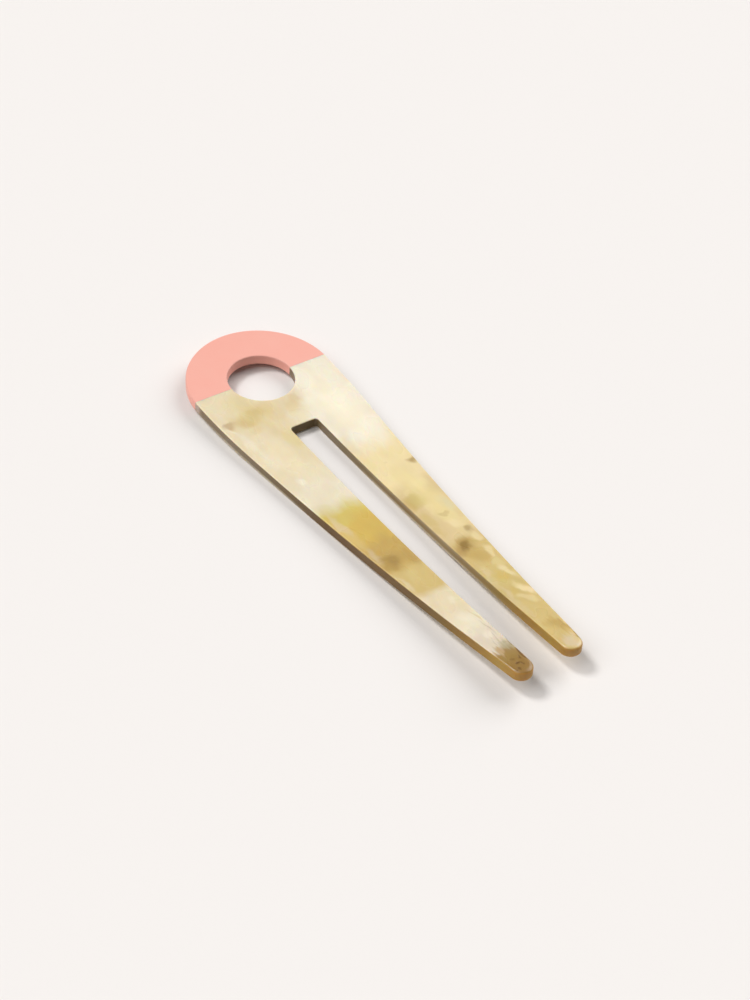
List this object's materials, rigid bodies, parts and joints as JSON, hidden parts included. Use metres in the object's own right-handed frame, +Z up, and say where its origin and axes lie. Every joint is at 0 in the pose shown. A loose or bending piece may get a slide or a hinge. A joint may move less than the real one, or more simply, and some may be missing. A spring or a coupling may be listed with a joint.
{
  "type": "double hairpin",
  "caption": "Bowed horn hair fork with a round holed head, a long square-ended slot, tapering prongs with round ends, and a lacquered head.",
  "frame": {"origin": "on the surface that the fork lies on, below the middle of its length and width", "axes": "+Y along the fork toward its round head, +X across it, +Z up, out of the hollow face"},
  "size_m": [0.0352, 0.1256, 0.0063],
  "materials": {
    "horn": "polished pale translucent horn, cream with golden and olive-brown clouds",
    "lacquer": "satin salmon-pink lacquer"
  },
  "bodies": {
    "root": {"horn_fork": "horn", "lacquer_coat": "lacquer"}
  },
  "joints": []
}
